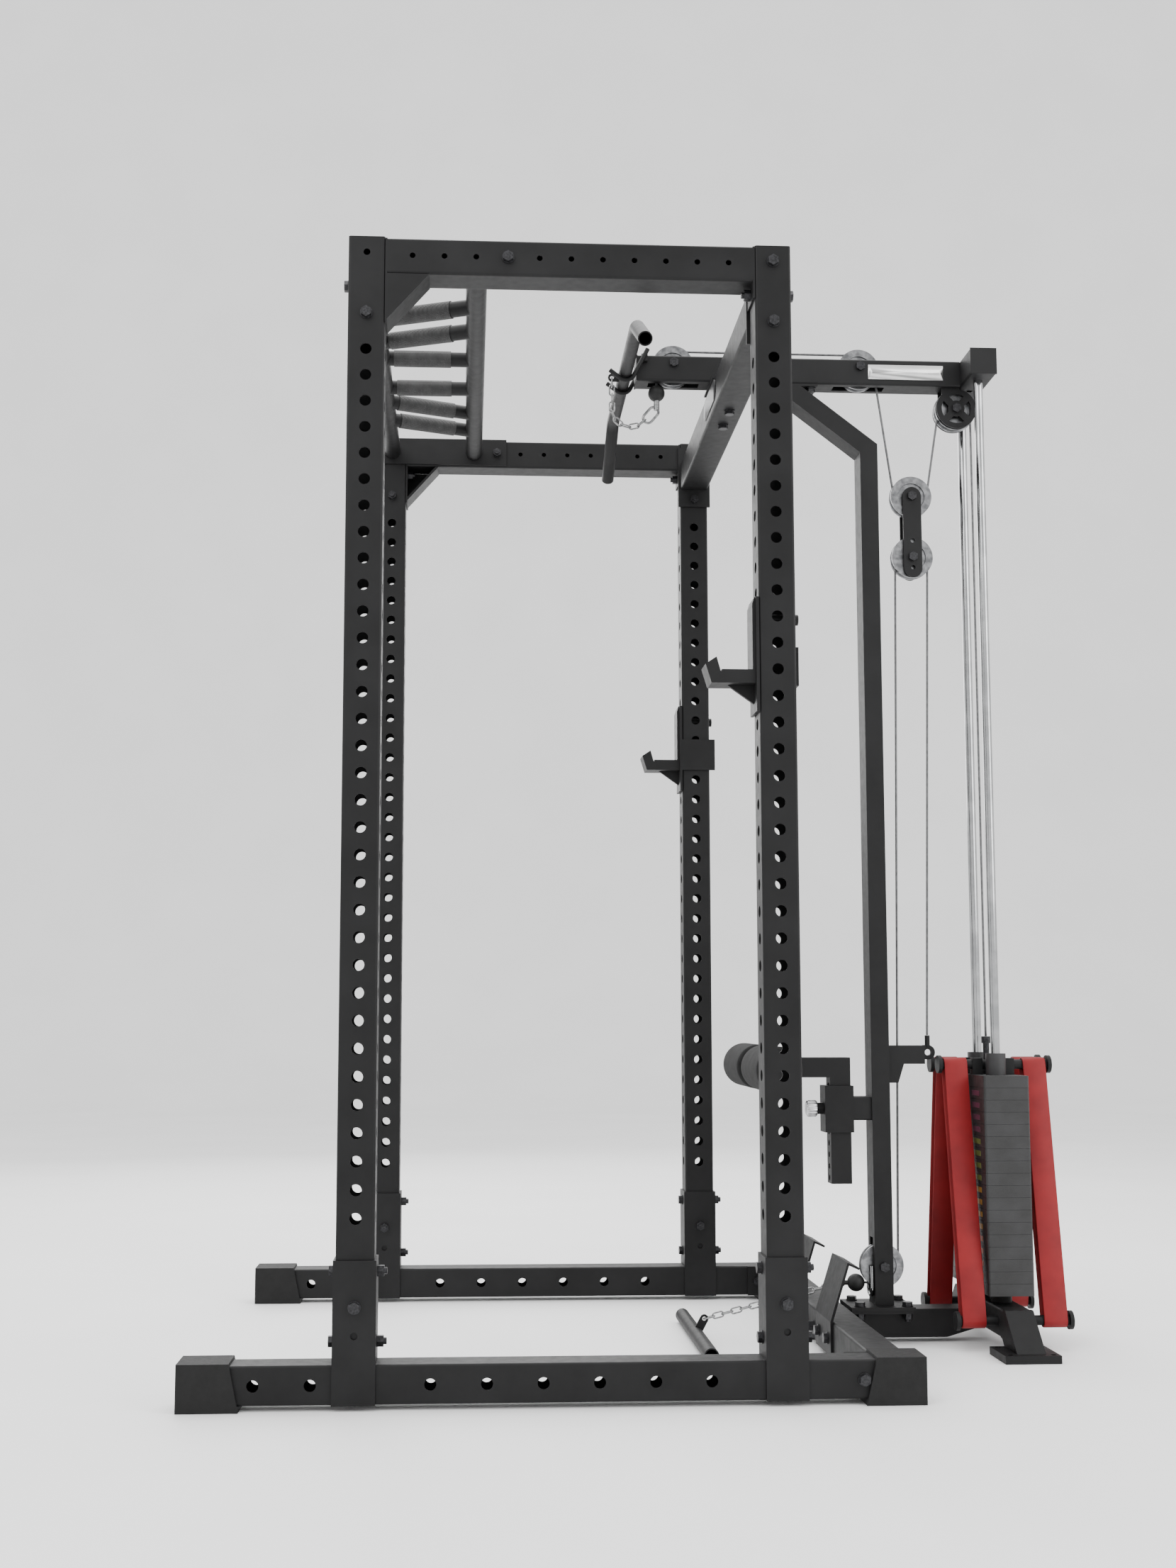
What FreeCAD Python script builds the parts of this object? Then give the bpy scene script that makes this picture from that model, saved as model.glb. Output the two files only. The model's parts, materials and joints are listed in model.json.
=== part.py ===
import FreeCAD, Part
import os
from math import asin, atan2, cos, hypot, pi, radians, sin, sqrt, tan

from FreeCAD import Placement, Rotation, Vector

# A power cage with a lat and low row tower, in millimetres.
# X runs from the front uprights back to the weight stack, Y across the cage, Z up from the floor.
# Places along X are measured from the front uprights and moved to the footprint's middle on saving.
ORIGIN_SHIFT = -583.0

# Cage frame
TUBE = 70.0
WALL = 3.0
CORNER = 5.0                 # outer corner radius of the tubes
BAY = 782.0                  # front upright to rear upright
HALF_WIDTH = 587.5           # middle plane to upright centre
INNER = HALF_WIDTH - TUBE / 2
OUTER = HALF_WIDTH + TUBE / 2
UPRIGHT_TOP = 2185.0
RAIL_BOTTOM = 10.0
RAIL_TOP = RAIL_BOTTOM + TUBE
RAIL_FRONT = -300.0
RAIL_REAR = 1022.0
HOLE_RADIUS = 10.75
PITCH = 50.8
FIRST_HOLE = 336.5
HOLE_COUNT = 33
BEAM_TOP = 2182.5
BEAM_BOTTOM = BEAM_TOP - TUBE
FLANGE = 6.0
CROSS_TOP = 2130.0           # rear top crossbeam
BOLT_RADIUS = 6.0
BOLT_FLATS = 19.0
WASHER_RADIUS = 12.0
WASHER_THICK = 2.0
HEAD_DEPTH = 9.5             # washer and head together
NUT_DEPTH = 12.5
TIP_DEPTH = 18.0
BOLT_HOLE = BOLT_RADIUS + 0.5

# Pull-up frame
BAR_HEIGHT = 2150.0
CROSS_BAR_RADIUS = 21.0
REAR_BAR = 210.0
RUNG_RADIUS = 16.0
GRIP_RADIUS = 18.0
RUNGS = [(90.0, 90.0), (180.0, 258.0), (305.0, 383.0)]    # Y at the front and at the rear bar

# Tower
LAT_HALF = 30.0
LAT_BOTTOM = 2134.0
LAT_TOP = LAT_BOTTOM + 2 * LAT_HALF
LAT_FRONT = 575.0
STACK = 1350.0               # centre of the weight stack
POST_FRONT = 1085.0
POST_REAR = 1125.0
POST_FOOT = 78.0
POST_KINK = 1995.0
POST_SLOPE = radians(37.5)
CROSSMEMBER = (945.0, 1015.0)
ARM = (STACK - 30.0, STACK + 30.0)
ARM_BOTTOM = 30.0
ARM_TOP = 90.0

# Cable system
CABLE_RADIUS = 2.5
PULLEY_RADIUS = 47.0
RUN_RADIUS = 37.0            # pulley centre to cable centre
PULLEY_HALF = 11.0
SLOT_HALF = 13.0
AXLE_RADIUS = 6.0
RUNNING_GAP = 0.05
GAP = 0.3
FRONT_PULLEY = (661.0, 2177.0)
MIDDLE_PULLEY = (1089.0, 2177.0)
STACK_PULLEY = (STACK - RUN_RADIUS, 2086.0)
LOW_PULLEY = (1105.7, 159.4)
UPPER_WHEEL = (1205.5, 1879.0)
LOWER_WHEEL = (1205.5, 1737.5)
BALL_RADIUS = 19.0
LAT_BALL = (FRONT_PULLEY[0] - RUN_RADIUS, LAT_BOTTOM - BALL_RADIUS - 0.5)
ROW_BALL = (1049.0, LOW_PULLEY[1] - RUN_RADIUS)
ANCHOR = 1218.0

# Weight stack
ROD_RADIUS = 10.0
ROD_OFFSET = 67.5
PLATE_SIZE = (98.0, 282.0)
PLATE_PITCH = 25.6
PLATE_THICK = 25.2
PLATE_COUNT = 18
PLATES_DOWN = 8              # plates left resting below the selector pin
STACK_FLOOR = 112.2
STACK_TOP = STACK_FLOOR + PLATE_PITCH * PLATE_COUNT - (PLATE_PITCH - PLATE_THICK)
PIN_HEIGHT = STACK_FLOOR + PLATE_PITCH * PLATES_DOWN + PLATE_THICK / 2
STEM_RADIUS = 7.0
SPINE_RADIUS = 11.0
PIN_RADIUS = 4.95
PEG_RADIUS = 10.5
PEG_SPAN = (1230.0, 1480.0)
UPPER_PEG = (33.0, 594.5)
LOWER_PEG = (130.0, 61.0)
BAND_WIDTH = 51.0
BAND_THICK = 4.5
BAND_OFFSET = 87.0

# Accessories
LAT_BAR = (550.0, 2150.0)
LAT_BAR_RADIUS = 15.0
HANDLE = (698.0, 15.5)
HANDLE_EYE = (716.0, 48.6)
LAT_EYE = (522.0, 2150.0)
HOOK_TILT = 40.0
HOOK_LENGTH = 42.0
HOOK_CLEAR = 4.0
CHAIN_LOW = 2077.0           # where the lat chain starts to turn under
CHAIN_WIRE = 1.75
CHAIN_LENGTH = 28.0
CHAIN_WIDTH = 15.0
CHAIN_REACH = 10.5           # link centre to the eye it hangs in
KNEE_POST = (995.0, 1040.0)
KNEE_HALF = 21.5
ROLLER = (846.0, 588.0)
ROLLER_RADIUS = 49.0
CUP_PIN_HEIGHT = FIRST_HOLE + 22 * PITCH
CUP_FACE = BAY - TUBE / 2    # front face of the rear uprights

AXES = [Vector(1, 0, 0), Vector(0, 1, 0), Vector(0, 0, 1)]
CORNERS = [(x, side) for x in (0.0, BAY) for side in (-1, 1)]


def spans(x, y, z):
    """The one axis given as a pair, its start point and its length."""
    along = [isinstance(value, tuple) for value in (x, y, z)].index(True)
    start = [min(value) if isinstance(value, tuple) else value for value in (x, y, z)]
    pair = (x, y, z)[along]
    return along, start, abs(pair[1] - pair[0])


def box(x, y, z):
    """A block between the two ends given for each axis."""
    low = [min(pair) for pair in (x, y, z)]
    size = [abs(pair[1] - pair[0]) for pair in (x, y, z)]
    return Part.makeBox(*size, Vector(*low))


def rod(x, y, z, radius):
    """A round bar along the axis that is given as a pair."""
    along, start, length = spans(x, y, z)
    return Part.makeCylinder(radius, length, Vector(*start), AXES[along])


def hex_bar(x, y, z, flats):
    """A six-sided bar along the axis that is given as a pair."""
    along, start, length = spans(x, y, z)
    corners = []
    for step in range(7):
        corner = list(start)
        corner[(along + 1) % 3] += flats / sqrt(3) * cos(step * pi / 3)
        corner[(along + 2) % 3] += flats / sqrt(3) * sin(step * pi / 3)
        corners.append(Vector(*corner))
    return Part.Face(Part.makePolygon(corners)).extrude(AXES[along] * length)


def rounded_bar(x, y, z, along, radius):
    """A rectangular bar whose long edges are rounded."""
    bar = box(x, y, z)
    long_edges = [edge for edge in bar.Edges if abs(edge.tangentAt(0).dot(AXES[along])) > 0.99]
    return bar.makeFillet(radius, long_edges)


def square_tube(x, y, z, along, wall=WALL):
    """A hollow rectangular tube with rounded corners, open at both ends of the axis numbered along."""
    inner = [(min(pair) + wall, max(pair) - wall) for pair in (x, y, z)]
    inner[along] = (x, y, z)[along]
    return rounded_bar(x, y, z, along, CORNER).cut(rounded_bar(*inner, along, CORNER - wall))


def side_outline(points, y):
    """An outline in the XZ plane, given its width across Y."""
    corners = [Vector(x, y[0], z) for x, z in points]
    face = Part.Face(Part.makePolygon(corners + corners[:1]))
    return face.extrude(Vector(0, y[1] - y[0], 0))


def front_outline(points, x):
    """An outline in the YZ plane, given its depth along X."""
    corners = [Vector(x[0], y, z) for y, z in points]
    face = Part.Face(Part.makePolygon(corners + corners[:1]))
    return face.extrude(Vector(x[1] - x[0], 0, 0))


def weld(*shapes):
    return shapes[0].multiFuse(list(shapes[1:])).removeSplitter()


def other_side(shape):
    return shape.mirror(Vector(0, 0, 0), Vector(0, 1, 0))


def sweep(edges, radius):
    """A round wire or cable along a run of edges."""
    path = Part.Wire(edges)
    start = edges[0].valueAt(edges[0].FirstParameter)
    tangent = edges[0].tangentAt(edges[0].FirstParameter)
    section = Part.Wire(Part.makeCircle(radius, start, tangent))
    return path.makePipeShell([section], True, True)


def line(start, end):
    return Part.makeLine(Vector(*start), Vector(*end))


def arc(start, middle, end):
    return Part.Arc(Vector(*start), Vector(*middle), Vector(*end)).toShape()


def bolt_places():
    """Every frame bolt as a line from its head's seat to its nut's seat."""
    places = []
    for side in (-1, 1):
        outer = side * OUTER
        inner = side * (INNER - FLANGE)
        places.append((0.0, (outer, side * INNER), 2033.0))
        places.append((BAY, (outer, inner), 2033.0))
        places.append((BAY, (outer, inner), 2153.6))
        places.append((269.7, (outer, side * (INNER - 5.0)), 2148.7))
        places.append((923.0, (outer, inner), 45.0))
        middle = side * HALF_WIDTH
        places.append(((-TUBE / 2, TUBE / 2 + 4.0), middle, 2098.0))
        places.append(((BAY + TUBE / 2, CUP_FACE - 4.0), middle, 2098.0))
        places.append(((1021.0, CROSSMEMBER[0]), side * 45.0, 40.0))
        places.append((784.0, side * 48.0, (CROSS_TOP - TUBE, CROSS_TOP + 4.0)))
        places.append((976.0, side * 15.0, (LAT_BOTTOM - 6.0, LAT_BOTTOM + WALL)))
        for x in (1048.0, 1151.0):
            places.append((x, side * 42.0, (POST_FOOT, 70.0 - 6.0)))
        for shift in (-45.0, 45.0):
            seat = (CROSSMEMBER[0] - 5.0, CROSSMEMBER[1])
            places.append((seat, side * 172.0 + shift, 45.0))
    for x, side in CORNERS:
        places.append((x, (side * (OUTER + 5.0), side * (INNER - 5.0)), 181.0))
        for z in (115.7, 240.3):
            places.append(((x - 39.0, x + 39.0), side * HALF_WIDTH, z))
    return places


BOLTS = bolt_places()


def beyond(place, along, end, depth):
    """A stretch of the bolt's line that starts at one seat and runs outwards."""
    first, second = place[along]
    seat, other = (first, second) if end == 0 else (second, first)
    outwards = 1.0 if seat > other else -1.0
    stretch = list(place)
    stretch[along] = (seat, seat + outwards * depth)
    return stretch


def bolt(place):
    along = spans(*place)[0]
    shank = rod(*place, BOLT_RADIUS)
    head = hex_bar(*beyond(place, along, 0, HEAD_DEPTH), BOLT_FLATS)
    washer = rod(*beyond(place, along, 0, WASHER_THICK), WASHER_RADIUS)
    nut = hex_bar(*beyond(place, along, 1, NUT_DEPTH), BOLT_FLATS)
    tip = rod(*beyond(place, along, 1, TIP_DEPTH), BOLT_RADIUS)
    return weld(shank, head, washer, nut, tip)


def drilled(shape):
    """The shape with a clearance hole for every bolt that reaches it."""
    for place in BOLTS:
        hole = rod(*place, BOLT_HOLE)
        if shape.BoundBox.intersect(hole.BoundBox):
            shape = shape.cut(hole)
    return shape


def through_holes(tube_span, heights, x, side):
    """Hole cutters along Y at each height and along X at each height."""
    across = [rod(x, (side * (OUTER + 1), side * (INNER - 1)), z, HOLE_RADIUS) for z in heights]
    along = [rod(tube_span, side * HALF_WIDTH, z, HOLE_RADIUS) for z in heights]
    return across + along


def upright(x, side):
    half = TUBE / 2
    tube = square_tube((x - half, x + half), (side * INNER, side * OUTER), (RAIL_TOP, UPRIGHT_TOP), 2)
    heights = [FIRST_HOLE + PITCH * step for step in range(HOLE_COUNT)]
    cutters = through_holes((x - half - 1, x + half + 1), heights, x, side)
    if x == 0.0:
        cutters.append(rod(x, (side * (OUTER + 1), side * (OUTER - 5)), 2153.6, BOLT_HOLE))
    return drilled(tube.cut(cutters))


def base_rail(side):
    y = (side * INNER, side * OUTER)
    tube = square_tube((RAIL_FRONT, RAIL_REAR), y, (RAIL_BOTTOM, RAIL_TOP), 0)
    places = [-179.0 + 2 * PITCH * step for step in range(2)]
    places += [137.0 + 2 * PITCH * step for step in range(6)]
    wide = (side * (OUTER + 1), side * (INNER - 1))
    return drilled(tube.cut([rod(x, wide, 44.5, HOLE_RADIUS) for x in places]))


def rail_boot(end, side):
    """A rubber cap over a rail's end, with a raked mouth."""
    if end == "front":
        outline = [(-314.0, 0.0), (-203.0, 0.0), (-221.0, 85.0), (-314.0, 85.0)]
        inside = (RAIL_FRONT, 0.0)
    else:
        outline = [(1036.0, 0.0), (925.0, 0.0), (945.0, 85.0), (1036.0, 85.0)]
        inside = (0.0, RAIL_REAR)
    y = (side * (INNER - 8.0), side * (OUTER + 8.0))
    boot = side_outline(outline, (min(y), max(y)))
    boot = boot.cut(box(inside, (side * INNER, side * OUTER), (RAIL_BOTTOM, RAIL_TOP)))
    if end == "rear":
        mouth = box((890.0, RAIL_REAR), (side * (INNER - 20.0), side * INNER), (RAIL_BOTTOM, RAIL_TOP))
        boot = boot.cut(mouth)
    return boot


def foot_sleeve(x, side):
    """A folded plate round the upright's foot, open below where the rail passes."""
    half = TUBE / 2
    outside = ((x - half - 4.0, x + half + 4.0), (side * (INNER - 5.0), side * (OUTER + 5.0)))
    sleeve = box(*outside, (9.5, 263.5))
    within = (side * INNER, side * OUTER)
    sleeve = sleeve.cut(box((x - half, x + half), within, (0.0, 300.0)))
    sleeve = sleeve.cut(box((x - 60.0, x + 60.0), within, (0.0, RAIL_TOP)))
    sleeve = sleeve.cut(rod(x, (side * (OUTER + 6), side * (INNER - 6)), 131.0, BOLT_HOLE))
    return drilled(sleeve)


def side_beam(side):
    """Top beam with end flanges, the small hole row and a boxed gusset at the front."""
    y = (side * INNER, side * OUTER)
    front = TUBE / 2
    rear = CUP_FACE
    tube = square_tube((front + 4.0, rear - 4.0), y, (BEAM_BOTTOM, BEAM_TOP), 0)
    front_plate = box((front, front + 4.0), y, (2016.0, BEAM_TOP))
    rear_plate = box((rear - 4.0, rear), y, (2080.0, BEAM_TOP))
    reach = front + 84.0
    corners = [(front + 4.0, 2022.0), (reach, BEAM_BOTTOM), (reach - 8.0, BEAM_BOTTOM)]
    corners += [(front + 4.0, 2031.0)]
    web = side_outline(corners, (min(y), max(y)))
    cheek_points = [(front + 4.0, 2022.0), (reach, BEAM_BOTTOM), (front + 4.0, BEAM_BOTTOM)]
    cheek = side_outline(cheek_points, (side * OUTER - side * 4.0, side * OUTER))
    beam = weld(tube, front_plate, rear_plate, web, cheek)
    wide = (side * (OUTER + 1), side * (INNER - 1))
    holes = [rod(87.0 + 60.9 * step, wide, 2148.7, 5.5) for step in range(11)]
    return drilled(beam.cut(holes))


def top_crossbeam():
    """Rear crossbeam with tall end flanges and the lat beam's seat on top."""
    reach = INNER - FLANGE
    depth = (CUP_FACE, CUP_FACE + TUBE)
    tube = square_tube(depth, (-reach, reach), (CROSS_TOP - TUBE, CROSS_TOP), 1)
    ends = [box((741.0, 823.0), (s * reach, s * INNER), (2015.0, 2172.0)) for s in (-1, 1)]
    seat = box((742.0, 822.0), (-62.0, 62.0), (CROSS_TOP, LAT_BOTTOM))
    return drilled(weld(tube, seat, *ends))


def badge_outline(y):
    """A long oval: a rectangle with round ends."""
    return weld(box((CUP_FACE - 2.0, CUP_FACE), (-y + 24.0, y - 24.0), (2076.0, 2124.0)),
                rod((CUP_FACE - 2.0, CUP_FACE), -y + 24.0, 2100.0, 24.0),
                rod((CUP_FACE - 2.0, CUP_FACE), y - 24.0, 2100.0, 24.0))


def blank_badges():
    """An oval badge on the crossbeam and a riveted plate on the lat beam, both blank."""
    plate = box((1107.0, 1280.0), (-LAT_HALF - 1.5, -LAT_HALF), (2147.0, 2181.0))
    rivets = [rod(x, (-LAT_HALF - 3.0, -LAT_HALF), 2164.0, 3.5) for x in (1114.0, 1273.0)]
    return [badge_outline(90.0), weld(plate, *rivets)]


def rung_ends():
    """Front and rear centre points of all six rungs."""
    ends = []
    for front, rear in RUNGS:
        for side in (-1, 1):
            start = Vector(0.0, side * front, BAR_HEIGHT)
            ends.append((start, Vector(REAR_BAR, side * rear, BAR_HEIGHT)))
    return ends


def pull_up_frame():
    """Two cross tubes and six rungs between two side plates."""
    reach = INNER - 5.0
    parts = [box((-28.0, 294.0), (s * reach, s * INNER), (2117.0, UPRIGHT_TOP)) for s in (-1, 1)]
    parts += [rod(x, (-reach, reach), BAR_HEIGHT, CROSS_BAR_RADIUS) for x in (0.0, REAR_BAR)]
    for start, end in rung_ends():
        length = (end - start).Length
        parts.append(Part.makeCylinder(RUNG_RADIUS, length, start, end - start))
    frame = weld(*parts)
    bores = [rod(x, (-reach, reach), BAR_HEIGHT, CROSS_BAR_RADIUS - WALL) for x in (0.0, REAR_BAR)]
    return drilled(frame.cut(bores))


def pull_up_grips():
    """Rubber sleeves on the rungs, leaving a bare length of tube at the rear bar."""
    grips = []
    for start, end in rung_ends():
        run = end - start
        direction = Vector(run).normalize()
        first = start + direction * (CROSS_BAR_RADIUS + 9.0)
        length = run.Length - 2 * CROSS_BAR_RADIUS - 42.0
        outer = Part.makeCylinder(GRIP_RADIUS, length, first, direction)
        grips.append(outer.cut(Part.makeCylinder(RUNG_RADIUS, length, first, direction)))
    return grips


def floor_crossmember():
    reach = INNER - FLANGE
    tube = square_tube(CROSSMEMBER, (-reach, reach), (RAIL_BOTTOM, RAIL_TOP), 1)
    ends = [box((900.0, 1020.0), (s * reach, s * INNER), (RAIL_BOTTOM, RAIL_TOP)) for s in (-1, 1)]
    return drilled(weld(tube, *ends))


def footrests():
    """Two bent foot plates bolted to the front of the floor crossmember."""
    back = CROSSMEMBER[0]
    bend = [(back, 12.0), (back, 80.0), (980.5, 193.5), (1001.0, 184.5), (1002.5, 188.5)]
    bend += [(977.5, 199.5), (back - 5.0, 81.5), (back - 5.0, 12.0)]
    return [drilled(side_outline(bend, (s * 172.0 - 75.0, s * 172.0 + 75.0))) for s in (-1, 1)]


def tower_floor_beam():
    """Centre beam from the crossmember to the stack base, raked underneath at its rear end."""
    half = LAT_HALF
    outline = [(1021.0, 10.0), (1240.0, 10.0), (ARM[0], 33.0), (ARM[0], 70.0), (1021.0, 70.0)]
    hollow = [(1021.0, 13.0), (1239.5, 13.0), (ARM[0], 36.0), (ARM[0], 67.0), (1021.0, 67.0)]
    beam = side_outline(outline, (-half, half))
    beam = beam.cut(side_outline(hollow, (WALL - half, half - WALL)))
    flange = box((CROSSMEMBER[1], 1021.0), (-58.0, 58.0), (RAIL_BOTTOM, 70.0))
    ears = box((1026.0, 1160.0), (-58.0, 58.0), (64.0, 70.0))
    ears = ears.cut(box((1021.0, 1200.0), (WALL - half, half - WALL), (60.0, 67.0)))
    return drilled(weld(beam, flange, ears))


def splayed_leg(side):
    """A hollow leg that leans outwards from the end of the cross arm to its foot plate."""
    outline = [(185.0, ARM_TOP), (259.0, 16.0), (174.0, 16.0), (160.0, ARM_BOTTOM)]
    hollow = [(183.5, ARM_TOP - WALL), (251.5, 19.0), (178.5, 19.0), (163.5, ARM_BOTTOM + WALL)]
    points = [(side * y, z) for y, z in outline]
    inside = [(side * y, z) for y, z in hollow]
    return front_outline(points, ARM).cut(front_outline(inside, (ARM[0] + WALL, ARM[1] - WALL)))


def stack_base():
    """Cross arm with mitred legs on drilled foot plates."""
    corner = 172.0
    arm = square_tube(ARM, (-corner, corner), (ARM_BOTTOM, ARM_TOP), 1)
    arm_end = [(172.0, ARM_TOP), (185.0, ARM_TOP), (160.0, ARM_BOTTOM), (150.0, ARM_BOTTOM)]
    parts = [arm]
    for side in (-1, 1):
        parts.append(splayed_leg(side))
        parts.append(front_outline([(side * y, z) for y, z in arm_end], ARM))
        parts.append(box((1290.0, 1406.0), (side * 170.0, side * 279.0), (0.0, 16.0)))
    base = weld(*parts)
    for side in (-1, 1):
        base = base.cut(rod(ARM, side * LOWER_PEG[0], LOWER_PEG[1], PEG_RADIUS))
        for x in (1303.0, 1393.0):
            base = base.cut(rod(x, side * 266.0, (0.0, 16.0), 6.0))
            base = base.cut(rod(x, side * 184.0, (0.0, 16.0), 6.0))
    return base


def post_outline(inset):
    """The bent post in the XZ plane, pulled in by the wall thickness for its hollow."""
    front = POST_FRONT + inset
    rear = POST_REAR - inset
    kink_drop = tan((pi / 2 - POST_SLOPE) / 2)
    outer_kink = POST_KINK - inset * kink_drop
    inner_kink = outer_kink - (rear - front) * kink_drop
    top = LAT_BOTTOM - 6.0
    outer_top = rear - (top - outer_kink) / tan(POST_SLOPE)
    inner_top = front - (top - inner_kink) / tan(POST_SLOPE)
    return [(front, POST_FOOT), (rear, POST_FOOT), (rear, outer_kink), (outer_top, top),
            (inner_top, top), (front, inner_kink)]


def tower_post():
    """Bent rectangular post with a foot plate, a head plate and a slot for the low pulley."""
    post = side_outline(post_outline(0.0), (-LAT_HALF, LAT_HALF))
    post = post.cut(side_outline(post_outline(WALL), (WALL - LAT_HALF, LAT_HALF - WALL)))
    foot = box((1026.0, 1165.0), (-60.0, 60.0), (70.0, POST_FOOT))
    head = box((868.0, 990.0), (-LAT_HALF, LAT_HALF), (LAT_BOTTOM - 6.0, LAT_BOTTOM))
    post = weld(post, foot, head)
    slot = box((POST_FRONT - 5, POST_REAR + 5), (-SLOT_HALF, SLOT_HALF), (95.0, 220.0))
    axle = rod(LOW_PULLEY[0], (-40.0, 40.0), LOW_PULLEY[1], AXLE_RADIUS)
    return drilled(post.cut([slot, axle]))


def hook_rod(side):
    """A bent rod with a long rear prong, a round saddle under the bar and a short front prong."""
    y = side * 42.0
    x, z = LAT_BAR
    bend = LAT_BAR_RADIUS + 5.0 + GAP
    rear_tip = (600.0, y, 2203.0)
    front_tip = (514.0, y, 2152.0)
    rear = tangent_point((x, z), bend, (rear_tip[0], rear_tip[2]), 1)
    front = tangent_point((x, z), bend, (front_tip[0], front_tip[2]), -1)
    rear_bend = (rear[0], y, rear[1])
    front_bend = (front[0], y, front[1])
    edges = [line(rear_tip, rear_bend), arc(rear_bend, (x, y, z - bend), front_bend)]
    edges.append(line(front_bend, front_tip))
    return sweep(edges, 5.0)


def tangent_point(centre, radius, tip, side):
    """Where a line from the tip touches the underside of a circle; side 1 is a tip at +X."""
    dx = tip[0] - centre[0]
    dz = tip[1] - centre[1]
    angle = atan2(dz, dx) - side * (pi / 2 - asin(radius / hypot(dx, dz)))
    return centre[0] + radius * cos(angle), centre[1] + radius * sin(angle)


def lat_beam():
    """Lat beam with the cross head over the stack and the rods that hold the bar."""
    beam = square_tube((LAT_FRONT, ARM[0]), (-LAT_HALF, LAT_HALF), (LAT_BOTTOM, LAT_TOP), 0)
    cap = box((LAT_FRONT, LAT_FRONT + WALL), (-LAT_HALF, LAT_HALF), (LAT_BOTTOM, LAT_TOP))
    head = square_tube(ARM, (-113.0, 113.0), (LAT_BOTTOM, LAT_TOP), 1)
    parts = [beam, cap, head]
    for side in (-1, 1):
        parts.append(box(ARM, (side * 110.0, side * 113.0), (LAT_BOTTOM, LAT_TOP)))
        parts.append(box((586.0, 600.0), (side * LAT_HALF, side * 42.0), (2176.0, 2192.0)))
        parts.append(hook_rod(side))
    shape = weld(*parts)
    slots = [(604.0, 720.0), (1030.0, 1148.0)]
    for slot in slots:
        shape = shape.cut(box(slot, (-SLOT_HALF, SLOT_HALF), (LAT_BOTTOM - 5, LAT_TOP + 5)))
    cable_way = (STACK - 6.0, STACK + 6.0)
    shape = shape.cut(box(cable_way, (-6.0, 6.0), (LAT_BOTTOM - 1, LAT_BOTTOM + WALL + 1)))
    for pulley in (FRONT_PULLEY, MIDDLE_PULLEY):
        shape = shape.cut(rod(pulley[0], (-40.0, 40.0), pulley[1], AXLE_RADIUS))
    return drilled(shape)


def axle(centre, half, head):
    """A plain axle with a six-sided head and nut outside its supports."""
    x, z = centre
    shank = rod(x, (-half, half), z, AXLE_RADIUS)
    ends = [hex_bar(x, (s * half, s * (half + head)), z, 19.0) for s in (-1, 1)]
    return weld(shank, *ends)


def pulley_axles():
    axles = [axle(centre, LAT_HALF, 7.0) for centre in (FRONT_PULLEY, MIDDLE_PULLEY, LOW_PULLEY)]
    return axles + [axle(STACK_PULLEY, 19.0, 7.0)]


def pulley(centre):
    """A grooved wheel with dished faces, running on its axle."""
    x, z = centre
    wheel = rod(x, (-PULLEY_HALF, PULLEY_HALF), z, PULLEY_RADIUS)
    floor = RUN_RADIUS - CABLE_RADIUS - 0.2
    lip = 6.5
    half = CABLE_RADIUS + 0.3
    profile = [(x + floor, -half), (x + PULLEY_RADIUS + 1, -lip), (x + PULLEY_RADIUS + 1, lip)]
    profile += [(x + floor, half), (x + floor, -half)]
    section = Part.Face(Part.makePolygon([Vector(px, py, z) for px, py in profile]))
    groove = section.revolve(Vector(x, 0, z), Vector(0, 1, 0), 360)
    wheel = wheel.cut(groove)
    for side in (-1, 1):
        dish = rod(x, (side * (PULLEY_HALF + 1), side * 7.5), z, 31.0)
        hub = rod(x, (side * (PULLEY_HALF + 2), side * 6.0), z, 13.0)
        wheel = wheel.cut(dish.cut(hub))
    return wheel.cut(rod(x, (-40.0, 40.0), z, AXLE_RADIUS + RUNNING_GAP))


def cover_windows(y):
    """Four curved windows left between the spokes of a cover plate."""
    x, z = STACK_PULLEY
    window = ring(x, y, z, 34.0, 19.0)
    for angle in (45.0, 135.0):
        spoke = box((x - 40.0, x + 40.0), y, (z - 8.0, z + 8.0))
        spoke.rotate(Vector(x, 0, z), Vector(0, 1, 0), angle)
        window = window.cut(spoke)
    return window


def stack_pulley_cover():
    """Two round plates with four windows that hang the stack pulley under the beam."""
    x, z = STACK_PULLEY
    covers = []
    for side in (-1, 1):
        y = (side * 15.0, side * 19.0)
        disc = rod(x, y, z, 46.0)
        neck = box((x - 33.0, x + 7.0), y, (z, LAT_BOTTOM))
        plate = weld(disc, neck)
        plate = plate.cut(cover_windows(y))
        covers.append(plate.cut(rod(x, (-40.0, 40.0), z, AXLE_RADIUS)))
    return covers


def guide_rods():
    return [rod(STACK, s * ROD_OFFSET, (ARM_TOP, LAT_BOTTOM), ROD_RADIUS) for s in (-1, 1)]


def ring(x, y, z, outer, inner):
    return rod(x, y, z, outer).cut(rod(x, y, z, inner))


def stack_bumpers():
    heights = (ARM_TOP, STACK_FLOOR - 0.4)
    return [ring(STACK, s * ROD_OFFSET, heights, 21.5, ROD_RADIUS) for s in (-1, 1)]


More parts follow.
